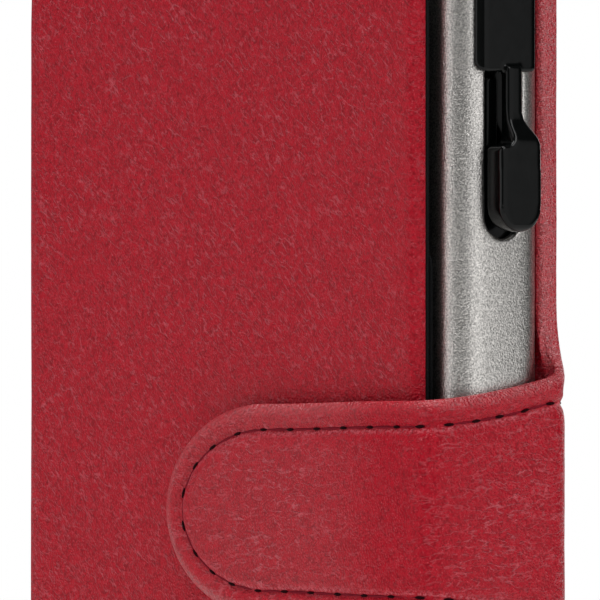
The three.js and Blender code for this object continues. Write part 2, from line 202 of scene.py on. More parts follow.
def leather(name, base, deep, pale, creases, crease_strength, roughness=0.42, wax=0.2, rolled=1.0, pucker=0.0):
    """Nappa leather from its body colour, its deep colour for mottling and for the painted shade in the grain's
    hollows, its pale colour for the creases and for the painted highlight on the pebble tops, and its creases
    and their strength. rolled is the extra sheen of a rolled edge, and pucker the paleness of the gathers beside
    the stitches."""
    material, tree, surface = new_material(name)

    def node(kind, inputs, output, **settings):
        return add_node(tree, kind, inputs, **settings).outputs[output]

    def ranged(value, low, high, out_low=0.0, out_high=1.0):
        return node("ShaderNodeMapRange", {"Value": value, "From Min": low, "From Max": high, "To Min": out_low,
                    "To Max": out_high}, "Result")

    def combined(a, b, operation="MULTIPLY"):
        return node("ShaderNodeMath", {0: a, 1: b}, "Value", operation=operation)

    def uneven(size, detail=2):
        return node("ShaderNodeTexNoise", {"Vector": place, "Scale": 1 / (size * MM), "Detail": detail}, "Fac")

    def mixed(amount, under, over):
        return node("ShaderNodeMixRGB", {"Fac": amount, "Color1": under, "Color2": over}, "Color")

    place = add_node(tree, "ShaderNodeTexCoord").outputs["Object"]
    wander = node("ShaderNodeTexNoise", {"Vector": place, "Scale": 1 / (1.1 * MM), "Detail": 2}, "Color")
    bent = node("ShaderNodeMixRGB", {"Fac": 0.42 * MM, "Color1": place, "Color2": wander}, "Color",
                blend_type="ADD")
    length, spacing, slope = creases
    laid = node("ShaderNodeMapping", {"Vector": bent, "Rotation": (0, math.radians(slope), 0),
                "Scale": (length * MM, length * MM, spacing * MM)}, "Vector", vector_type="TEXTURE")
    folds = node("ShaderNodeTexNoise", {"Vector": laid, "Scale": 1.0, "Detail": 2, "Roughness": 0.45}, "Fac")
    between = node("ShaderNodeMath", {0: combined(folds, 0.5, "SUBTRACT")}, "Value", operation="ABSOLUTE")
    stretch = node("ShaderNodeAttribute", {}, "Fac", attribute_name="stretch")
    edge = node("ShaderNodeAttribute", {}, "Fac", attribute_name="edge")
    # Round a fold the stretch lowers the sheen and the pale creases: partly the leather stretched smooth, partly
    # painted shade for the fold's darker turn.
    fold_slack_and_shade = ranged(stretch, 0.0, 1.0, 1.0, 0.35)
    patch = combined(ranged(uneven(7, 4), 0.4, 0.6, 0.6, 1.0), ranged(edge, 0.5, 3.0, 0.6, 1.0))
    broken = combined(ranged(uneven(0.8), 0.36, 0.54), patch)
    crease = combined(combined(ranged(between, 0.0, 0.042, 1.0, 0.0), broken), combined(fold_slack_and_shade, crease_strength))
    pebbles = node("ShaderNodeTexVoronoi", {"Vector": bent, "Scale": 1 / (PEBBLE * MM)}, "Distance")
    # Painted shade: the hollows between the pebbles are darkened towards the deep colour, as if in shadow.
    painted_hollow_shade = combined(ranged(pebbles, 0.35, 0.75), ranged(uneven(0.55), 0.4, 0.62))
    body = mixed(combined(painted_hollow_shade, 0.85), srgb(base), srgb(deep))
    # Random mottling in the deep colour, laid over the body that holds the painted shade of the hollows.
    mottled_with_hollow_shade = mixed(combined(ranged(uneven(0.8, 3), 0.42, 0.7), 0.35), body, srgb(deep))
    # Painted highlight: the tops of the pebbles are paler, as if they caught the light.
    painted_pebble_highlight = combined(ranged(pebbles, 0.0, 0.38, 1.0, 0.0), ranged(uneven(0.45), 0.46, 0.62))
    gathers = combined(combined(ranged(edge, 2.95, 3.1), ranged(edge, 3.2, 3.7, 1.0, 0.0)),
                       combined(ranged(uneven(0.35), 0.42, 0.6), pucker))
    # The pale colour marks the creases and the gathers beside the stitches, and is a painted highlight on the
    # pebble tops.
    pale_marks_and_painted_highlight = combined(combined(combined(painted_pebble_highlight, 0.42), combined(crease, 0.62), "MAXIMUM"), gathers, "MAXIMUM")
    tree.links.new(mixed(pale_marks_and_painted_highlight, mottled_with_hollow_shade, srgb(pale)), surface.inputs["Base Color"])
    surface.inputs["Roughness"].default_value = roughness
    tree.links.new(combined(fold_slack_and_shade, ranged(edge, 0.5, 1.5, rolled * wax, wax)), surface.inputs["Specular IOR Level"])
    grain = node("ShaderNodeBump", {"Height": ranged(pebbles, 0.0, 0.7, 1.0, 0.0), "Strength": 1.0,
                 "Distance": 0.1 * MM}, "Normal")
    creased = node("ShaderNodeBump", {"Height": crease, "Strength": 0.7, "Distance": 0.2 * MM, "Normal": grain},
                   "Normal")
    tree.links.new(creased, surface.inputs["Normal"])
    return material


# In each leather the deep colour is mottling and painted shade in the grain's hollows, and the pale colour is the
# creases and a painted highlight on the pebble tops.
cover_leather = leather("dyed_nappa_leather", "#a80920", "#7c0012", "#d26570", COVER_CREASES, 0.7, wax=0.17)
strap_leather = leather("creased_nappa_leather", "#a90920", "#7e0013", "#d8707a", STRAP_CREASES, 0.72, 0.4, 0.27,
                        rolled=4.0, pucker=0.55)
print("leather grain", PEBBLE, "mm")

# %% [markdown]
# The other finishes. The case is blasted with fine glass beads and anodised clear, so it is a metal with a
# sparkling 0.2 mm grit and no direction. The slider is ABS from a polished mould. The lining is a plain
# weave of 0.35 mm threads.

# %% Metal, plastic, cloth and felt
BEAD = 0.2  # millimetres across one speck of the grit
THREAD = 0.35  # millimetres between threads
FIBRE = 0.25  # millimetres between the fibres of the felt


def blasted_aluminium():
    material, tree, surface = new_material("bead_blasted_anodised_aluminium")
    place = add_node(tree, "ShaderNodeTexCoord").outputs["Object"]
    grit = add_node(tree, "ShaderNodeTexNoise", {"Vector": place, "Scale": 1 / (BEAD * MM), "Detail": 2})
    tone = add_node(tree, "ShaderNodeMapRange", {"Value": grit.outputs["Fac"], "From Min": 0.3, "From Max": 0.7,
                    "To Min": 0.34, "To Max": 1.0})
    colour = add_node(tree, "ShaderNodeMixRGB", {"Fac": tone.outputs["Result"], "Color1": srgb("#3c3b3a"),
                      "Color2": srgb("#f0ece8")})
    bump = add_node(tree, "ShaderNodeBump", {"Height": grit.outputs["Fac"], "Strength": 0.9, "Distance": 0.07 * MM})
    tree.links.new(colour.outputs["Color"], surface.inputs["Base Color"])
    tree.links.new(bump.outputs["Normal"], surface.inputs["Normal"])
    surface.inputs["Metallic"].default_value = 1
    surface.inputs["Roughness"].default_value = 0.3
    return material


def polished_abs():
    material, tree, surface = new_material("polished_moulded_abs")
    place = add_node(tree, "ShaderNodeTexCoord").outputs["Object"]
    flow = add_node(tree, "ShaderNodeTexNoise", {"Vector": place, "Scale": 1 / (1.5 * MM), "Detail": 2})
    rough = add_node(tree, "ShaderNodeMapRange", {"Value": flow.outputs["Fac"], "To Min": 0.1, "To Max": 0.2})
    bump = add_node(tree, "ShaderNodeBump", {"Height": flow.outputs["Fac"], "Strength": 0.05, "Distance": 0.1 * MM})
    surface.inputs["Base Color"].default_value = srgb("#030404")
    surface.inputs["Specular IOR Level"].default_value = 0.18
    tree.links.new(rough.outputs["Result"], surface.inputs["Roughness"])
    tree.links.new(bump.outputs["Normal"], surface.inputs["Normal"])
    return material


def woven_cloth(name, dark, light, thread):
    """A plain weave: two sets of rounded threads over and under each other."""
    material, tree, surface = new_material(name)
    place = add_node(tree, "ShaderNodeTexCoord").outputs["Object"]
    waves = []
    for direction in ("X", "Z"):
        waves.append(add_node(tree, "ShaderNodeTexWave", {"Vector": place, "Scale": 0.314 / (thread * MM),
                     "Distortion": 0.4, "Detail": 1}, bands_direction=direction).outputs["Fac"])
    weave = add_node(tree, "ShaderNodeMath", {0: waves[0], 1: waves[1]}, operation="MULTIPLY")
    colour = add_node(tree, "ShaderNodeMixRGB", {"Fac": weave.outputs["Value"], "Color1": srgb(dark),
                      "Color2": srgb(light)})
    bump = add_node(tree, "ShaderNodeBump", {"Height": weave.outputs["Value"], "Strength": 0.6,
                    "Distance": 0.1 * MM})
    tree.links.new(colour.outputs["Color"], surface.inputs["Base Color"])
    tree.links.new(bump.outputs["Normal"], surface.inputs["Normal"])
    surface.inputs["Roughness"].default_value = 0.85
    surface.inputs["Sheen Weight"].default_value = 0.03
    surface.inputs["Specular IOR Level"].default_value = 0.15
    return material


aluminium = blasted_aluminium()
black_abs = polished_abs()
black_cloth = woven_cloth("black_woven_lining", "#020203", "#0d0c0f", THREAD)
dark_felt = woven_cloth("pressed_wool_felt", "#1c1c1f", "#38373b", FIBRE)
print("grit", BEAD, "mm, weave", THREAD, "mm, felt", FIBRE, "mm")

# %% [markdown]
# All the leather, the linings and the case's wall are sheets of even thickness that run along a path seen
# from above: straight, round a fold, straight again. So one builder makes them. It takes an outline drawn
# flat, in millimetres along the path and up, sets rings of points inside it so that the turned edge and the
# stitch crease follow it, fills the middle with a grid, and then bends the flat sheet along the path.

# %% Paths seen from above
class Path:
    """A line seen from above, of straight and round stretches. The outer face lies on its right."""

    def __init__(self, start, heading):
        self.places = [np.array(start, float)]
        self.headings = [heading]

    def straight(self, length):
        steps = max(1, int(length / 2))
        way = np.array([math.cos(self.headings[-1]), math.sin(self.headings[-1])])
        start = self.places[-1]
        for i in range(1, steps + 1):
            self.places.append(start + way * length * i / steps)
            self.headings.append(self.headings[-1])
        return self

    def turn(self, radius, angle=math.pi / 2, steps=32):
        """A round stretch to the left."""
        heading, start = self.headings[-1], self.places[-1]
        centre = start + radius * np.array([-math.sin(heading), math.cos(heading)])
        for i in range(1, steps + 1):
            now = heading + angle * i / steps
            self.places.append(centre - radius * np.array([-math.sin(now), math.cos(now)]))
            self.headings.append(now)
        return self

    def tables(self):
        points = np.array(self.places)
        gaps = np.linalg.norm(np.diff(points, axis=0), axis=1)
        return np.concatenate([[0], np.cumsum(gaps)]), points, np.array(self.headings)

    def bend(self, s, z, depth):
        """Flat (s, z) and a depth below the outer face, as places in space."""
        along, points, headings = self.tables()
        angle = np.interp(s, along, headings)
        x = np.interp(s, along, points[:, 0]) - np.sin(angle) * depth
        y = np.interp(s, along, points[:, 1]) + np.cos(angle) * depth
        return np.column_stack([x, y, z])

    @property
    def length(self):
        return self.tables()[0][-1]


# %% [markdown]
# Every sheet starts as a line drawn flat, the way a leather cutter draws a pattern: straight runs, arcs and
# free curves, filled in to an even spacing. A stitch line is the edge moved inwards. Curve objects could draw
# them too, but plain arrays are easier to measure from.

# %% Lines drawn on the flat sheet
def arc(centre, radii, start, end, step=0.5):
    """Points along part of an ellipse, from one angle to another."""
    count = max(4, int(abs(end - start) * max(radii) / step))
    angles = np.linspace(start, end, count + 1)
    return [np.array(centre) + np.array(radii) * [math.cos(a), math.sin(a)] for a in angles]


def curve(a, b, c, d, count=24):
    """Points along a cubic curve with these four handles."""
    a, b, c, d = (np.array(p, float) for p in (a, b, c, d))
    return [a * (1 - t)**3 + 3 * b * t * (1 - t)**2 + 3 * c * t * t * (1 - t) + d * t**3
            for t in np.linspace(0, 1, count + 1)]


def spaced(points, step, closed=False):
    """The same line with points no further apart than a step, its corners kept."""
    points = [np.array(p, float) for p in points]
    if closed:
        points.append(points[0])
    out = [points[0]]
    for p in points[1:]:
        gap = np.linalg.norm(p - out[-1])
        if gap < 1e-4:
            continue
        count = max(1, math.ceil(gap / step))
        start = out[-1]
        out += [start + (p - start) * i / count for i in range(1, count + 1)]
    return np.array(out[:-1] if closed else out)


def inset(outline, distance, seams):
    """The closed outline moved inwards. A seam stays where it is, and only its ends draw together."""
    ahead = np.roll(outline, -1, 0) - outline
    behind = outline - np.roll(outline, 1, 0)
    left = [np.stack([-v[:, 1], v[:, 0]], 1) / np.linalg.norm(v, axis=1)[:, None] for v in (ahead, behind)]
    shared = left[0] + left[1]
    moved = outline + shared / (1 + (left[0] * left[1]).sum(1))[:, None] * distance
    kept = seams | np.roll(seams, 1) | np.roll(seams, -1)
    for value in np.unique(outline[seams, 0].round(3)):
        on = kept & (abs(outline[:, 0] - value) < 0.01)
        z = outline[on, 1]
        moved[on] = np.column_stack([outline[on, 0], np.clip(z, z.min() + distance, z.max() - distance)])
    return moved


def beside(line, distance):
    """An open line moved to its left."""
    way = np.gradient(line, axis=0)
    way /= np.linalg.norm(way, axis=1)[:, None]
    return line + np.stack([-way[:, 1], way[:, 0]], 1) * distance


def inside(points, outline):
    """Which points are inside a closed outline, by counting crossings."""
    found = np.zeros(len(points), bool)
    x, y = points[:, 0], points[:, 1]
    for a, b in zip(outline, np.roll(outline, -1, 0)):
        if a[1] != b[1]:
            crosses = (a[1] > y) != (b[1] > y)
            found ^= crosses & (x < (b[0] - a[0]) * (y - a[1]) / (b[1] - a[1]) + a[0])
    return found


def distance_to(points, line, step=0.05):
    """Each point's distance to a line, which is filled in finely first."""
    line = spaced(line, step)
    tree = KDTree(len(line))
    for i, place in enumerate(line):
        tree.insert((place[0], place[1], 0), i)
    tree.balance()
    return np.array([tree.find((p[0], p[1], 0))[2] for p in points])


def runs(outline, real):
    """The stretches of an outline that are finished edges, each as a row of points."""
    n = len(outline)
    if real.all():
        return [np.vstack([outline, outline[:1]])]
    start = int(np.argmin(real))
    found, current = [], []
    for k in range(n + 1):
        i = (start + k) % n
        if real[i]:
            current.append(outline[i])
        elif current:
            found.append(np.array(current))
            current = []
    return [run for run in found if len(run) > 1]


# %% [markdown]
# The relief of a sheet is given by how deep its face lies at each point: it falls away round a turned edge,
# dips along the stitches and wanders a little everywhere. Sculpting would do it by eye. Short formulas of the
# distance to the edge keep it even, and they are easy to adjust.

# %% Depths across the sheet
def round_edge(radius, facets=5):
    """Ring distances that step evenly round a turned edge."""
    return [radius * (1 - math.cos(math.pi / 2 * k / facets)) for k in range(facets + 1)]


def fall(distance, radius):
    """How far an edge of this radius has rounded away at a distance from the edge."""
    near = np.clip(radius - distance, 0, radius)
    return radius - np.sqrt(np.clip(radius**2 - near**2, 0, None))


def bell(value, centre, width):
    return np.exp(-((value - centre) / width) ** 2)


def smooth(value, low, high):
    t = np.clip((value - low) / (high - low), 0, 1)
    return t * t * (3 - 2 * t)


def ripple(s, z, size, seed, stretch=1):
    """Smooth unevenness from about -1 to 1, with a wavelength near size, and longer along the path."""
    return np.array([noise.noise((a / size / stretch, b / size, seed)) for a, b in zip(s, z)])


# %% [markdown]
# The builder itself. Rings of quads follow the finished edge, so that the light runs cleanly round it, and a
# triangulated grid fills the rest. The inner face is the same pattern with its faces turned round, and a wall
# joins the two where the edge is finished. At a seam the end is filled in to close the sheet.

# %% The sheet builder
ROWS = (0, 0.22, -0.22, 0.45, -0.45, 0.75, -0.75)  # rows of points beside a crease
ROWS_CLEAR = 0.95  # how far from the crease the plain grid begins again
WELD, SLIVER = 0.003, 0.001  # millimetres: points this near are joined, and shorter edges are taken out


def bent_sheet(name, outline, seams, path, rings, step, outer, inner, along=(), stretched=None):
    """A sheet with an outer and an inner face. seams says which outline points meet the next piece, and outer
    and inner give the two faces' depths from (distance to a finished edge, s, z). along is a line that needs
    its own rows of points, such as a crease. stretched gives the leather's stretch from s, which the leather
    also uses for painted shade round a fold."""
    real = ~seams
    n = len(outline)
    loops = [inset(outline, d, seams) for d in rings]
    last = loops[-1][np.linalg.norm(loops[-1] - np.roll(loops[-1], 1, 0), axis=1) > 1e-4]
    low, high = last.min(0) + step * 0.7, last.max(0) - step * 0.3
    grid = np.stack(np.meshgrid(*[np.arange(low[k], high[k], step) for k in (0, 1)], indexing="ij"), -1)
    grid = grid.reshape(-1, 2)
    grid = grid[inside(grid, last)]
    grid = grid[distance_to(grid, np.vstack([last, last[:1]]), step / 3) > step * 0.45]
    if len(along):
        rows = np.vstack([beside(along, off) for off in ROWS])
        rows = rows[inside(rows, last)]
        rows = rows[distance_to(rows, np.vstack([last, last[:1]]), step / 3) > 0.15]
        grid = np.vstack([grid[distance_to(grid, along) > ROWS_CLEAR], rows])
    middle = [Vector(p) for p in np.vstack([last, grid])]
    m = len(last)
    border = [(i, (i + 1) % m) for i in range(m)]
    corners, _, triangles, *_ = delaunay_2d_cdt(middle, border, [list(range(m))], 1, 1e-5)
    flat = np.vstack([*loops, np.array([tuple(c) for c in corners])])
    finished = [i for i in range(n) if real[i] and real[(i + 1) % n]]
    faces = [[n * len(loops) + i for i in t] for t in triangles]
    for k in range(len(loops) - 1):
        faces += [[k * n + i, k * n + (i + 1) % n, (k + 1) * n + (i + 1) % n, (k + 1) * n + i] for i in finished]
    edge = np.min([distance_to(flat, run) for run in runs(outline, real)], axis=0)
    total = len(flat)
    walls = [[(i + 1) % n, i, total + i, total + (i + 1) % n] for i in finished]
    s, z = flat.T
    places = np.vstack([path.bend(s, z, outer(edge, s, z)), path.bend(s, z, inner(edge, s, z))])
    made = link_mesh(name, places, faces + [[total + i for i in reversed(f)] for f in faces] + walls)
    stored = {"edge": edge, "stretch": stretched(s) if stretched else np.zeros(len(s))}
    for key, values in stored.items():
        attribute = made.data.attributes.new(key, "FLOAT", "POINT")
        attribute.data.foreach_set("value", np.tile(values, 2).astype(np.float32))
    tidy = bmesh.new()
    tidy.from_mesh(made.data)
    bmesh.ops.remove_doubles(tidy, verts=tidy.verts, dist=WELD * MM)
    bmesh.ops.dissolve_degenerate(tidy, edges=tidy.edges, dist=SLIVER * MM)
    bmesh.ops.delete(tidy, geom=[v for v in tidy.verts if not v.link_faces], context="VERTS")
    bmesh.ops.holes_fill(tidy, edges=[e for e in tidy.edges if e.is_boundary], sides=0)
    bmesh.ops.recalc_face_normals(tidy, faces=tidy.faces)
    open_edges = sum(not e.is_manifold for e in tidy.edges)
    tidy.to_mesh(made.data)
    tidy.free()
    made.data.shade_smooth()
    made.data.set_sharp_from_angle(angle=math.radians(50))
    print(name, len(made.data.polygons), "faces,", open_edges, "open edges")
    return made


def seam_points(outline, s_values):
    """Outline points strictly inside a seam, which is a stretch of constant s."""
    found = np.zeros(len(outline), bool)
    for value in s_values:
        on = abs(outline[:, 0] - value) < 0.01
        ends = outline[on, 1]
        found |= on & (outline[:, 1] > ends.min() + 0.01) & (outline[:, 1] < ends.max() - 0.01)
    return found


# %% [markdown]
# The cover and half of the spine are one hide, turned in round the cover's board. It starts at the middle of
# the spine, goes round the front fold and ends at the cover's free edge. Inside the turned borders it is thin
# and leaves the pocket that holds the padding and the board.

# %% Cover hide
HEIGHT = cover_high[2]
SPINE_RADIUS = 5.0
SPINE_MIDDLE = (spine_low[1] + spine_high[1]) / 2
COVER_THICK = cover_high[1] - cover_low[1]
SKIN = 0.92  # the hide's own thickness over the board
TURN_IN = 1.55  # width of the cover's solid turned border
COVER_EDGE, BACK_EDGE = 0.95, 0.9  # radius of the turned edges
EDGE_RINGS = [1.15, 1.45, 1.6, 2.2, 3.0]
QUARTER = SPINE_RADIUS * math.pi / 2
spine_half = SPINE_MIDDLE - spine_low[1] - SPINE_RADIUS

cover_path = Path((spine_low[0], SPINE_MIDDLE), -math.pi / 2).straight(spine_half).turn(SPINE_RADIUS)
cover_path.straight(cover_high[0] - spine_low[0] - SPINE_RADIUS)
cover_end = cover_path.length
CORNER = 4.0  # radius of the cover's and the panel's corners
PRESS, PRESS_REACH = 0.7, 3.2  # how deep the strap sinks into the padding, and how far from it that shows
PRESS_START = 6.0  # millimetres behind the strap's tip
BOARD_WAVE = 16.0  # wavelength of the unevenness of leather over a board
COVER_SEED, FINE_SEED, BACK_SEED, STRAP_SEED = 3, 8, 12, 21
strap_middle = (tongue_low[2] + tongue_high[2]) / 2
tongue_half = (tongue_high[2] - tongue_low[2]) / 2
cover_outline = spaced([(0, 0), *arc((cover_end - CORNER, CORNER), (CORNER, CORNER), -math.pi / 2, 0),
                        *arc((cover_end - CORNER, HEIGHT - CORNER), (CORNER, CORNER), 0, math.pi / 2),
                        (0, HEIGHT)], 0.6, closed=True)
board_start = spine_half + QUARTER + box("front_cover_board")[0][0] - spine_low[0] - SPINE_RADIUS


def cover_outer(d, s, z):
    x = s - spine_half - QUARTER + spine_low[0] + SPINE_RADIUS
    beyond_tip = np.clip(tongue_low[0] + PRESS_START - x, 0, None)
    above = np.clip(abs(z - strap_middle) - tongue_half, 0, None)
    press = PRESS * np.exp(-np.hypot(beyond_tip * 1.6, above) / PRESS_REACH)
    crown = 0.16 * smooth(d, 0, 9)  # the padding lifts the middle a little
    uneven = 0.05 * ripple(s, z, BOARD_WAVE, COVER_SEED) + 0.015 * ripple(s, z, 3, FINE_SEED, 2)
    return fall(d, COVER_EDGE) + press - crown - uneven


def cover_inner(d, s, z):
    in_pocket = (d > TURN_IN - 0.05) & (s > board_start)
    return np.where(in_pocket, SKIN, COVER_THICK - fall(d, 0.5))


cover_hide = bent_sheet("cover_hide", cover_outline, seam_points(cover_outline, [0]), cover_path,
                        round_edge(COVER_EDGE) + EDGE_RINGS, 0.9, cover_outer, cover_inner)

# %% [markdown]
# The back panel is the other half of the same hide: from a seam near the strap, along the back, round the
# rear fold to the middle of the spine. Its two ends lie flush with their neighbours, so no joint shows.

# %% Back hide
PANEL_THICK = back_high[1] - back_low[1]
SEAM_X = back_high[0] - 10.5
back_board = box("back_panel_board")
back_path = Path((SEAM_X, back_high[1]), math.pi).straight(SEAM_X - spine_low[0] - SPINE_RADIUS)
back_path.turn(SPINE_RADIUS).straight(spine_half)
back_end = back_path.length
back_outline = spaced([(0, 0), (back_end, 0), (back_end, HEIGHT), (0, HEIGHT)], 0.6, closed=True)
back_fold = SEAM_X - spine_low[0] - SPINE_RADIUS


def back_outer(d, s, z):
    return fall(d, BACK_EDGE) - 0.05 * ripple(s, z, BOARD_WAVE, BACK_SEED) * smooth(s, 0, 6)


def back_inner(d, s, z):
    in_pocket = (d > TURN_IN) & (s < SEAM_X - back_board[0][0])
    full = PANEL_THICK + (COVER_THICK - PANEL_THICK) * smooth(s, back_fold - 1, back_fold + 2)
    return np.where(in_pocket, SKIN, full - fall(d, 0.5))


back_hide = bent_sheet("back_hide", back_outline, seam_points(back_outline, [0, back_end]), back_path,
                       round_edge(BACK_EDGE) + EDGE_RINGS, 1.1, back_outer, back_inner)

# %% [markdown]
# The strap is pulled tight round the case's side. Its edges are turned over a cord of filler, so they stand
# proud, and the stitch line draws the leather down into a crease 2.8 mm inside the edge. It is made as two
# sheets that meet in the middle of the side, because each bends at one of the two folds.

# %% The strap's shape
STRAP_THICK = 0.9
TONGUE_THICK = tongue_high[1] - tongue_low[1]
FOLD_RADIUS = 3.0
EASE_RADIUS, TIGHT_RADIUS = 11.0, 3.2  # the strap eases into its front fold and out of it again
EASE = math.radians(14)
STITCH_INSET = 2.8


def front_turn(path):
    path.turn(EASE_RADIUS, EASE).turn(TIGHT_RADIUS, math.pi / 2 - 2 * EASE)
    return path.turn(EASE_RADIUS, EASE)


fold_path = front_turn(Path((0, 0), 0))
FOLD = fold_path.length
fold_reach = float(fold_path.places[-1][0])  # as much of the front as of the side
side_middle = SPINE_MIDDLE - 0.8  # the strap's front stands proud of the cover, so its middle is further forward
tongue_length = side_high[0] - fold_reach - tongue_low[0]
TIP = 18.0  # length of the round end
TIP_START = 0.8  # the round end begins a little inside the CAD tongue
OUTLINE_STEP, SEAM_STEP = 0.45, 0.15  # spacing of the outline's points


def strap_half(s):
    """Half the strap's width at a length from its tip: it widens towards the back panel."""
    return tongue_half + 0.4 * smooth(s, TIP, tongue_length) + 0.006 * np.clip(s - tongue_length, 0, None) ** 2


strap_path = front_turn(Path((tongue_low[0], tongue_low[1]), 0).straight(tongue_length))
strap_path.straight(side_middle - tongue_low[1] - fold_reach)
strap_end = strap_path.length
reach = np.linspace(TIP, strap_end, 60)
lower_edge = [(s, strap_middle - strap_half(s)) for s in reach]
upper_edge = [(s, strap_middle + strap_half(s)) for s in reach[::-1]]
tip = arc((TIP, strap_middle), (TIP - TIP_START, tongue_half), math.pi / 2, 3 * math.pi / 2)
strap_outline = spaced([*lower_edge, *spaced([lower_edge[-1], upper_edge[0]], SEAM_STEP), *upper_edge,
                        *tip[1:-1]], OUTLINE_STEP, closed=True)
strap_seam = seam_points(strap_outline, [strap_end])
strap_stitches = spaced(beside(runs(strap_outline, ~strap_seam)[0], STITCH_INSET), 0.1)

root_path = Path((side_high[0], side_middle), math.pi / 2).straight(back_high[1] - FOLD_RADIUS - side_middle)
root_path.turn(FOLD_RADIUS).straight(side_high[0] - FOLD_RADIUS - SEAM_X)
root_end = root_path.length
root_fold = back_high[1] - FOLD_RADIUS - side_middle
FLARE_START = root_fold - 0.1  # just before the rear fold
flare_half = strap_half(strap_end + FLARE_START)
panel_edge = root_fold + FOLD_RADIUS * math.acos((back_high[0] - side_high[0] + FOLD_RADIUS) / FOLD_RADIUS)
FLARE_HALF = 23.0  # half height at which the flare meets the panel's edge


def flare(side):
    """The concave curve from the strap's edge to the panel's edge, above or below."""
    points = curve((FLARE_START, flare_half), (FLARE_START + 2.9, flare_half + 0.65),
                   (panel_edge, FLARE_HALF - 5.5), (panel_edge, FLARE_HALF))
    return [(p[0], strap_middle + side * p[1]) for p in points]


short = np.linspace(0, FLARE_START, 12)
root_lower = [(s, strap_middle - strap_half(strap_end + s)) for s in short]
root_upper = [(s, strap_middle + strap_half(strap_end + s)) for s in short[::-1]]
root_outline = spaced([
    *root_lower, *flare(-1), *arc((panel_edge + CORNER, CORNER), (CORNER, CORNER), math.pi, 1.5 * math.pi),
    (root_end, 0), (root_end, HEIGHT),
    *arc((panel_edge + CORNER, HEIGHT - CORNER), (CORNER, CORNER), math.pi / 2, math.pi),
    *flare(1)[::-1], *root_upper, *spaced([root_upper[-1], root_lower[0]], SEAM_STEP)[1:-1]],
    OUTLINE_STEP, closed=True)
BOX_END = root_end - 2.5  # the stitching closes in a box on the back panel
stitch_half = float(strap_half(strap_end)) - STITCH_INSET
box_half = flare_half - STITCH_INSET
root_stitches = spaced([
    (0, strap_middle - stitch_half), *curve((1, strap_middle - stitch_half - 0.1),
    (4, strap_middle - stitch_half - 0.5), (5, strap_middle - box_half), (8, strap_middle - box_half)),
    *arc((BOX_END - 2, strap_middle - box_half + 2), (2, 2), -math.pi / 2, 0),
    *arc((BOX_END - 2, strap_middle + box_half - 2), (2, 2), 0, math.pi / 2),
    *curve((8, strap_middle + box_half), (5, strap_middle + box_half), (4, strap_middle + stitch_half + 0.5),
    (1, strap_middle + stitch_half + 0.1)), (0, strap_middle + stitch_half)], 0.1)
print("strap length", round(strap_end + root_end, 1), "mm, stitches", STITCH_INSET, "mm inside the edge")

# %% [markdown]
# The relief of the strap. The edge rolls over its cord of filler, the stitches pull a crease beside it, and
# the middle is a little full over the lining. A pocket is left inside for the magnet.

# %% Strap hides
CREASE_DEPTH = 0.42
ROLL, ROLL_WIDTH = 0.62, 1.15  # how far the turned edge rolls away, and over what width
PULL = [1.5, 1.9, 2.25, 2.5, 2.68, 2.8, 2.92, 3.1, 3.35, 3.7]  # rings closest at the crease


def strap_face(d, to_stitch, s, z, seed):
    """The pulled-down crease, the full border outside it and the slightly full middle inside it."""
    crease = CREASE_DEPTH * bell(to_stitch, 0, 0.5) * (1 + 0.2 * ripple(s, z, 2.2, seed + 5))
    border = 0.16 * bell(d, 1.25, 0.6)
    middle = 0.14 * smooth(to_stitch, 0.3, 2.2) * smooth(d, STITCH_INSET, STITCH_INSET + 1.5)
    uneven = 0.05 * ripple(s, z, 7, seed) + 0.025 * ripple(s, z, 2.4, seed + 9, 2.5)
    return ROLL * fall(d / ROLL_WIDTH, 1.0) + crease - border - middle - uneven


magnet = box("strap_magnet")
magnet_s = [magnet[k][0] - tongue_low[0] for k in (0, 1)]
MAGNET_ROOM, MAGNET_SKIN = 0.4, 0.68  # room round the magnet, and the leather left over it


def strap_outer(d, s, z):
    flat = np.column_stack([s, z])
    return strap_face(d, distance_to(flat, strap_stitches, 0.1), s, z, STRAP_SEED)


def strap_inner(d, s, z):
    thick = TONGUE_THICK + (STRAP_THICK - TONGUE_THICK) * smooth(s, tongue_length, tongue_length + FOLD)
    across = (s > magnet_s[0] - MAGNET_ROOM) & (s < magnet_s[1] + MAGNET_ROOM)
    pocket = across & (z > magnet[0][2] - MAGNET_ROOM) & (z < magnet[1][2] + MAGNET_ROOM)
    return np.where(pocket, MAGNET_SKIN, thick - fall(d, 0.2))


def root_outer(d, s, z):
    flat = np.column_stack([s, z])
    to_stitch = distance_to(flat, root_stitches, 0.1)
    on_strap = 1 - smooth(s, panel_edge - 2, panel_edge + 4) * 0.7
    return strap_face(d, to_stitch, s, z, STRAP_SEED) * on_strap + fall(d, 0.8) * (1 - on_strap)


def root_inner(d, s, z):
    thick = STRAP_THICK + (PANEL_THICK - STRAP_THICK) * smooth(s, panel_edge - 2.4, panel_edge - 0.1)
    at_board = root_end - (back_board[1][0] - SEAM_X)
    pocket = (s > at_board) & (z > TURN_IN) & (z < HEIGHT - TURN_IN)
    cord = 0.55 * bell(d, 1.0, 0.7) * smooth(s, panel_edge - 0.4, panel_edge + 0.4)  # the filler in the turned edge
    return np.where(pocket, SKIN, thick + cord - fall(d, 0.2))


ROLL_RINGS = [ROLL_WIDTH * d for d in round_edge(1.0, 7)]
strap_hide = bent_sheet("strap_hide", strap_outline, strap_seam, strap_path, ROLL_RINGS + PULL, 0.42,
                        strap_outer, strap_inner,
                        # The stretch round the front fold also darkens the strap there as painted shade.
                        stretched=lambda s: bell(s, tongue_length - 1, 8))
root_hide = bent_sheet("strap_root_hide", root_outline, seam_points(root_outline, [0, root_end]), root_path,
                       ROLL_RINGS + PULL[:-1], 0.5, root_outer, root_inner,
                       along=spaced(root_stitches[::4], 0.3))

# %% [markdown]
# Stitches repeat along a line, so Geometry Nodes place them. The script marks a point for each needle hole
# and one for each thread between two holes; the tree turns a thread or a hole to the line there, and a thread
# is stretched to its own gap.

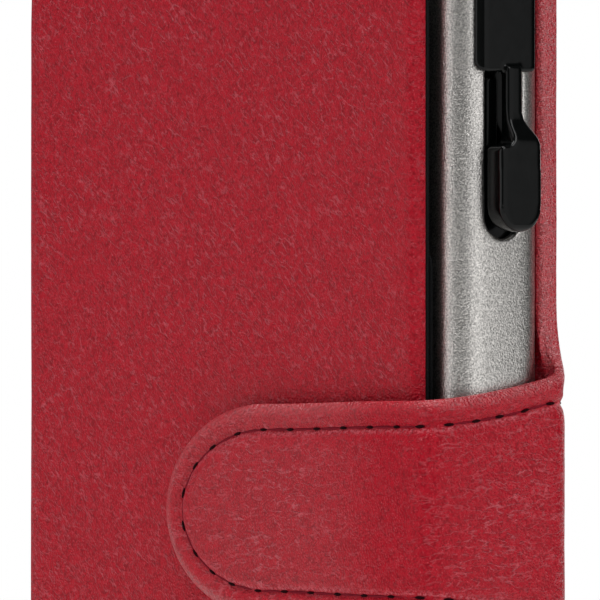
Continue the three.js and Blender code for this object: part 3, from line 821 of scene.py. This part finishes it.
# %% Stitch templates
def bead_mesh(name, square):
    """A small rounded bead, one millimetre long and wide, with blunter ends where square is higher."""
    shape = bmesh.new()
    bmesh.ops.create_uvsphere(shape, u_segments=8, v_segments=8, radius=0.5)
    for vertex in shape.verts:
        x, y, z = vertex.co
        vertex.co = (math.copysign(abs(2 * z) ** square / 2, z), y, x)
    bmesh.ops.recalc_face_normals(shape, faces=shape.faces)
    mesh = bpy.data.meshes.new(name)
    shape.to_mesh(mesh)
    shape.free()
    mesh.shade_smooth()
    made = bpy.data.objects.new(name, mesh)
    bpy.context.scene.collection.objects.link(made)
    made.hide_render = True
    return made


thread_bead = bead_mesh("thread_template", 1.5)
hole_bead = bead_mesh("hole_template", 1.2)


def plain_finish(name, colour, roughness, metallic=0.0, *, grain, depth, dark):
    """A finish broken up between two colours by noise, its grain and depth in millimetres."""
    material, tree, surface = new_material(name)
    surface.inputs["Roughness"].default_value = roughness
    surface.inputs["Metallic"].default_value = metallic
    place = add_node(tree, "ShaderNodeTexCoord").outputs["Object"]
    specks = add_node(tree, "ShaderNodeTexNoise", {"Vector": place, "Scale": 1 / (grain * MM), "Detail": 3})
    mixed = add_node(tree, "ShaderNodeMixRGB", {"Fac": specks.outputs["Fac"], "Color1": srgb(dark),
                     "Color2": srgb(colour)})
    bump = add_node(tree, "ShaderNodeBump", {"Height": specks.outputs["Fac"], "Strength": 0.4,
                    "Distance": depth * MM})
    tree.links.new(mixed.outputs["Color"], surface.inputs["Base Color"])
    tree.links.new(bump.outputs["Normal"], surface.inputs["Normal"])
    return material


stitch_thread = plain_finish("bonded_polyester_thread", "#8c1a2b", 0.7, grain=0.12, depth=0.05, dark="#520a17")
needle_hole = plain_finish("needle_hole_shadow", "#260409", 0.9, grain=0.3, depth=0.02, dark="#120205")
for dull in (stitch_thread, needle_hole):
    dull.node_tree.nodes["Principled BSDF"].inputs["Specular IOR Level"].default_value = 0.08
print("templates", thread_bead.name, "and", hole_bead.name)

# %% [markdown]
# The tree reads the direction, the upright and the gap that each point stores. It puts a bead of dark shadow
# at a hole and stretches a bead of thread over a gap, makes them real geometry, and gives each its finish.

# %% The stitch tree
def stitch_tree():
    tree = bpy.data.node_groups.new("stitches", "GeometryNodeTree")
    for name, kind, default in (("Geometry", "NodeSocketGeometry", None), ("Thread", "NodeSocketObject", None),
                                ("Hole", "NodeSocketObject", None), ("Thread Width", "NodeSocketFloat", 0.34 * MM),
                                ("Hole Length", "NodeSocketFloat", 1.25 * MM),
                                ("Hole Width", "NodeSocketFloat", 0.34 * MM)):
        socket = tree.interface.new_socket(name, in_out="INPUT", socket_type=kind)
        if default is not None:
            socket.default_value = default
    tree.interface.new_socket("Geometry", in_out="OUTPUT", socket_type="NodeSocketGeometry")
    given = add_node(tree, "NodeGroupInput").outputs

    def attribute(name, kind):
        field = add_node(tree, "GeometryNodeInputNamedAttribute", {"Name": name}, data_type=kind)
        return field.outputs["Attribute"]

    along, up = attribute("along", "FLOAT_VECTOR"), attribute("up", "FLOAT_VECTOR")
    gap, is_hole = attribute("gap", "FLOAT"), attribute("is_hole", "BOOLEAN")
    turned = add_node(tree, "FunctionNodeAlignRotationToVector", {"Vector": along}, axis="X")
    upright = add_node(tree, "FunctionNodeAlignRotationToVector",
                       {"Rotation": turned.outputs["Rotation"], "Vector": up}, axis="Z", pivot_axis="X")
    is_thread = add_node(tree, "FunctionNodeBooleanMath", {0: is_hole}, operation="NOT").outputs["Boolean"]
    thread_size = add_node(tree, "ShaderNodeCombineXYZ", {"X": gap, "Y": given["Thread Width"],
                           "Z": given["Thread Width"]}).outputs["Vector"]
    hole_size = add_node(tree, "ShaderNodeCombineXYZ", {"X": given["Hole Length"], "Y": given["Hole Width"],
                         "Z": given["Hole Width"]}).outputs["Vector"]
    parts = add_node(tree, "GeometryNodeJoinGeometry")
    for shape, chosen, size, finish in (("Thread", is_thread, thread_size, stitch_thread),
                                        ("Hole", is_hole, hole_size, needle_hole)):
        template = add_node(tree, "GeometryNodeObjectInfo", {"Object": given[shape]}).outputs["Geometry"]
        placed = add_node(tree, "GeometryNodeInstanceOnPoints", {"Points": given["Geometry"], "Selection": chosen,
                          "Instance": template, "Rotation": upright.outputs["Rotation"], "Scale": size})
        real = add_node(tree, "GeometryNodeRealizeInstances", {"Geometry": placed.outputs["Instances"]})
        painted = add_node(tree, "GeometryNodeSetMaterial", {"Geometry": real.outputs["Geometry"],
                           "Material": finish})
        tree.links.new(painted.outputs["Geometry"], parts.inputs["Geometry"])
    result = add_node(tree, "NodeGroupOutput")
    tree.links.new(parts.outputs["Geometry"], result.inputs["Geometry"])
    return tree


stitches = stitch_tree()
TIP_PITCH, LONG_PITCH, SIDE_PITCH = 3.7, 4.7, 3.7  # millimetres between holes
TIP_STITCHES = 11.0  # length of the round end that is sewn at the shorter pitch


def sew(name, path, line, pitch_at, crease, end_holes=True):
    """Needle holes at the pitch for their place along a flat line, and a thread between each two."""
    along = np.concatenate([[0], np.cumsum(np.linalg.norm(np.diff(line, axis=0), axis=1))])
    holes = [0.0]
    while holes[-1] < along[-1]:
        holes.append(holes[-1] + pitch_at(np.interp(holes[-1], along, line[:, 0])))
    holes = np.array(holes) * (along[-1] - 0.02) / holes[-1] + 0.01
    middles = (holes[1:] + holes[:-1]) / 2
    shown = holes if end_holes else holes[1:-1]
    is_hole = [True] * len(shown) + [False] * len(middles)
    stops = np.concatenate([shown, middles])
    depth = np.where(is_hole, crease - 0.06, crease + 0.02)

    def place(where, sunk):
        s, z = (np.interp(where, along, line[:, k]) for k in (0, 1))
        return path.bend(s, z, sunk)

    points = place(stops, depth)
    ways = place(stops + 0.05, depth) - place(stops - 0.05, depth)
    ups = place(stops, depth - 1) - points
    ends = place(holes, np.full(len(holes), crease + 0.02))
    chords = ends[1:] - ends[:-1]
    points[len(shown):] = 0.3 * points[len(shown):] + 0.7 * (ends[1:] + ends[:-1]) / 2  # pulled straight
    ways[len(shown):] = chords
    gaps = [1.0] * len(shown) + [0.93 * MM * length for length in np.linalg.norm(chords, axis=1)]
    made = link_mesh(name, points, [])
    for key, kind, values in (("along", "FLOAT_VECTOR", ways), ("up", "FLOAT_VECTOR", ups), ("gap", "FLOAT", gaps),
                              ("is_hole", "BOOLEAN", is_hole)):
        field = "vector" if kind == "FLOAT_VECTOR" else "value"
        flat = np.asarray(values, dtype=bool if kind == "BOOLEAN" else np.float32).ravel()
        made.data.attributes.new(key, kind, "POINT").data.foreach_set(field, flat)
    modifier = made.modifiers.new("stitches", "NODES")
    modifier.node_group = stitches
    sockets = {i.name: i.identifier for i in stitches.interface.items_tree if i.in_out == "INPUT"}
    modifier[sockets["Thread"]] = thread_bead
    modifier[sockets["Hole"]] = hole_bead
    bpy.context.view_layer.update()
    sewn = bpy.data.meshes.new_from_object(made.evaluated_get(bpy.context.evaluated_depsgraph_get()))
    made.modifiers.clear()
    made.data = sewn
    print(name, len(middles), "stitches")
    return made


def strap_pitch(s):
    return TIP_PITCH if s < TIP_STITCHES else LONG_PITCH if s < tongue_length else SIDE_PITCH


strap_thread = sew("strap_stitching", strap_path, strap_stitches, strap_pitch, CREASE_DEPTH, end_holes=False)
root_thread = sew("strap_root_stitching", root_path, root_stitches, lambda s: SIDE_PITCH, CREASE_DEPTH)

# %% [markdown]
# The card case is a tube pressed from one strip, with its side slot milled from the top. The same sheet
# builder bends its wall, and the small rounding of the slot's edge comes from the rings.

# %% Aluminium case
CASE_RADIUS, WALL, BREAK = 3.7, 1.2, 0.4
SLOT_WIDTH = 4.95
SLOT_BOTTOM = 71.25  # height of the slot's round end
SLOT_MOUTH = 0.8  # radius of the corners where the slot opens at the top
case_mid = (case_low[1] + case_high[1]) / 2
case_deep = (case_high[1] - case_low[1]) / 2 - CASE_RADIUS
case_wide = case_high[0] - case_low[0] - 2 * CASE_RADIUS
# The narrow side with the slot is slightly crowned, so the corners there turn a little less than a right angle.
CROWN = math.radians(4)
corner_turn = math.pi / 2 - CROWN
crown_chord = 2 * (case_deep + CASE_RADIUS) - 2 * CASE_RADIUS * (1 - math.cos(corner_turn))
crown_radius = crown_chord / 2 / math.sin(CROWN)
crown_rise = crown_radius * (1 - math.cos(CROWN)) - CASE_RADIUS * (1 - math.sin(corner_turn))
case_path = Path((case_low[0], case_mid), -math.pi / 2).straight(case_deep).turn(CASE_RADIUS)
case_path.straight(case_wide - crown_rise).turn(CASE_RADIUS, corner_turn).turn(crown_radius, 2 * CROWN)
slot_s = case_path.length - crown_radius * CROWN
case_path.turn(CASE_RADIUS, corner_turn).straight(case_wide - crown_rise).turn(CASE_RADIUS).straight(case_deep)
case_end = case_path.length
slot_half = SLOT_WIDTH / 2
slot_round = arc((slot_s, SLOT_BOTTOM + slot_half), (slot_half, slot_half), 0, -math.pi, 0.15)


def slot_mouth(side, start, end):
    """The rounded corner on one side of the slot's mouth."""
    centre = (slot_s + side * (slot_half + SLOT_MOUTH), case_high[2] - SLOT_MOUTH)
    return arc(centre, (SLOT_MOUTH, SLOT_MOUTH), start, end, 0.2)


case_outline = spaced([(0, case_low[2]), (case_end, case_low[2]), (case_end, case_high[2]),
                       *slot_mouth(1, math.pi / 2, math.pi), *slot_round, *slot_mouth(-1, 0, math.pi / 2),
                       (0, case_high[2])], 0.5, closed=True)
case_shell = bent_sheet("case_shell", case_outline, seam_points(case_outline, [0, case_end]), case_path,
                        round_edge(BREAK) + [0.7], 0.7, lambda d, s, z: fall(d, BREAK),
                        lambda d, s, z: WALL - fall(d, 0.3))

# %% [markdown]
# The slider is one glossy moulding. Its mesh is remeshed finely and smoothed, which rounds every edge as a
# polished mould does. The rail behind the slot is made the same way.

# %% Moulded parts
SWELL = 0.08  # millimetres that make up for what the smoothing takes off


def moulded(node, name, voxel, passes):
    """A copy of a CAD node with its edges rounded."""
    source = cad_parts[node]
    made = bpy.data.objects.new(name, source.data.copy())
    bpy.context.scene.collection.objects.link(made)
    merged = bmesh.new()
    merged.from_mesh(made.data)
    bmesh.ops.remove_doubles(merged, verts=merged.verts, dist=0.001 * MM)
    merged.to_mesh(made.data)
    merged.free()
    remesh = made.modifiers.new("remesh", "REMESH")
    remesh.mode = "VOXEL"
    remesh.voxel_size = voxel * MM
    swell = made.modifiers.new("swell", "DISPLACE")
    swell.strength = SWELL * MM
    swell.mid_level = 0
    relax = made.modifiers.new("relax", "SMOOTH")
    relax.factor = 0.5
    relax.iterations = passes
    bpy.context.view_layer.update()
    shaped = bpy.data.meshes.new_from_object(made.evaluated_get(bpy.context.evaluated_depsgraph_get()))
    made.modifiers.clear()
    made.data = shaped
    made.data.shade_smooth()
    print(name, len(shaped.polygons), "faces")
    return made


slider = moulded("thumb_slider", "slider_moulding", 0.13, 20)
rail = moulded("ejector_rail", "rail_moulding", 0.18, 5)

# %% [markdown]
# The linings are woven cloth, cut to the cover's size and glued flat, and the card pockets are the same
# cloth doubled. Each is a thin sheet with soft edges and a slight unevenness from the glue.

# %% Cloth linings and leather linings
def lining(node, name, unevenness, seed, corner=1.5):
    """A flat sheet as big as its CAD node, uneven by this many millimetres."""
    low, high = box(node)
    thick = high[1] - low[1]
    wide = high[0] - low[0]
    path = Path((low[0], low[1]), 0).straight(wide)
    outline = spaced([
        *arc((corner, low[2] + corner), (corner, corner), -math.pi, -math.pi / 2),
        *arc((wide - corner, low[2] + corner), (corner, corner), -math.pi / 2, 0),
        *arc((wide - corner, high[2] - corner), (corner, corner), 0, math.pi / 2),
        *arc((corner, high[2] - corner), (corner, corner), math.pi / 2, math.pi)], 0.8, closed=True)
    return bent_sheet(name, outline, np.zeros(len(outline), bool), path, round_edge(thick / 2, 3) + [0.6], 1.6,
                      lambda d, s, z: fall(d, thick / 2) + unevenness * ripple(s, z, 5, seed),
                      lambda d, s, z: thick - fall(d, thick / 2) + unevenness * ripple(s, z, 5, seed))


cover_lining = lining("front_cover_lining", "cover_lining_cloth", 0.03, 31)
pocket_upper = lining("card_pocket_upper", "upper_pocket_cloth", 0.03, 32)
pocket_lower = lining("card_pocket_lower", "lower_pocket_cloth", 0.03, 33)
back_lining = lining("back_panel_lining", "back_lining_leather", 0.0, 34)

# %% [markdown]
# Most of the pieces inside are seen only when the wallet is open, or not at all. They are grey book board,
# open-cell foam, a nickelled magnet, a zinc-plated steel keeper and satin ABS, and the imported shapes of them
# are already right, so they only need their finishes.

# %% Finishes for what the hides enclose
paper_board = plain_finish("grey_bookbinding_board", "#8d8a84", 0.9, grain=0.8, depth=0.05, dark="#76736e")
soft_foam = plain_finish("open_cell_foam", "#3b3b3e", 0.95, grain=0.4, depth=0.15, dark="#242427")
nickel = plain_finish("nickel_plated_magnet", "#b9b6ad", 0.25, 1.0, grain=0.5, depth=0.01, dark="#a5a29a")
zinc_steel = plain_finish("zinc_plated_keeper", "#a9acae", 0.35, 1.0, grain=0.6, depth=0.01, dark="#8f9294")
satin_abs = plain_finish("satin_moulded_abs", "#141415", 0.45, grain=0.3, depth=0.02, dark="#0e0e0f")
# Its deep and pale colours also paint shade in the grain's hollows and a highlight on the pebble tops.
inner_leather = leather("split_leather_lining", "#8a1a28", "#761320", "#a03844", COVER_CREASES, 0.3, 0.6)
print("inner finishes", [m.name for m in (paper_board, soft_foam, nickel, zinc_steel, satin_abs, inner_leather)])

# %% [markdown]
# Last, every piece gets its finish. The case, the linings and the slider's parts get the body they move with;
# the hides and the stitching stay where they are, and the lines where the folds start are printed.

# %% Bodies and finishes
def at(x, y):
    """A point half way up, in metres, from millimetres off the spine's front corner."""
    return (spine_low[0] + x) * MM, (spine_low[1] + y) * MM, HEIGHT / 2 * MM


def dress(piece, finish, slot, *nodes):
    """Give a piece its finish and hide the CAD nodes it stands for. slot is not used. The stitching has its own
    finishes.
    """
    if finish:
        piece.data.materials.clear()
        piece.data.materials.append(finish)
    if nodes:
        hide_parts(*nodes)


dress(cover_hide, cover_leather, "leather", "front_cover_leather")
dress(back_hide, cover_leather, "leather", "spine_leather", "back_panel_leather")
dress(root_hide, strap_leather, "leather", "strap_side_leather")
dress(strap_hide, strap_leather, "leather", "strap_tongue_leather")
dress(strap_thread, None, "leather")
dress(root_thread, None, "leather")
dress(case_shell, aluminium, "aluminium", "aluminium_case")
dress(slider, black_abs, "black_plastic", "thumb_slider")
dress(rail, black_abs, "black_plastic", "ejector_rail")
dress(cover_lining, black_cloth, "textile", "front_cover_lining")
dress(pocket_upper, black_cloth, "textile", "card_pocket_upper")
dress(pocket_lower, black_cloth, "textile", "card_pocket_lower")
dress(back_lining, inner_leather, "leather", "back_panel_lining")

spine_front = (at(0, SPINE_RADIUS), at(SPINE_RADIUS, 0))
deep = spine_high[1] - spine_low[1]
spine_rear = (at(SPINE_RADIUS, deep), at(0, deep - SPINE_RADIUS))
side_x = side_high[0] - spine_low[0]
rear_fold = (at(side_x - FOLD_RADIUS, deep), at(side_x, deep - FOLD_RADIUS))
tongue_y = tongue_low[1] - spine_low[1]
front_fold = (at(side_x, tongue_y + fold_reach), at(side_x - fold_reach, tongue_y))
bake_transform(cover_hide)
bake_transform(back_hide)
for piece in (root_hide, root_thread):
    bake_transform(piece)
for piece in (strap_hide, strap_thread):
    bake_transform(piece)
for piece, body in ((case_shell, "root"), (back_lining, "root"), (slider, "slider"), (rail, "slider"),
                    (cover_lining, "front_cover"), (pocket_upper, "front_cover"), (pocket_lower, "front_cover")):
    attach(piece, body)

for node, finish in (("front_cover_padding", soft_foam), ("front_cover_board", paper_board),
                     ("magnet_keeper", zinc_steel), ("spine_lining", inner_leather),
                     ("back_panel_board", paper_board), ("case_bonding_pad", soft_foam),
                     ("strap_side_lining", inner_leather), ("strap_tongue_lining", inner_leather),
                     ("strap_magnet", nickel), ("case_end_cap", satin_abs), ("felt_strip_front", dark_felt),
                     ("felt_strip_back", dark_felt), ("ejector_tray", satin_abs)):
    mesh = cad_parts[node].data
    mesh.materials.clear()
    mesh.materials.append(finish)
for name, line in (("spine front", spine_front), ("spine rear", spine_rear), ("strap rear", rear_fold),
                   ("strap front", front_fold)):
    print(name, "fold starts at", [round(v / MM, 1) for v in line[0]], "mm")
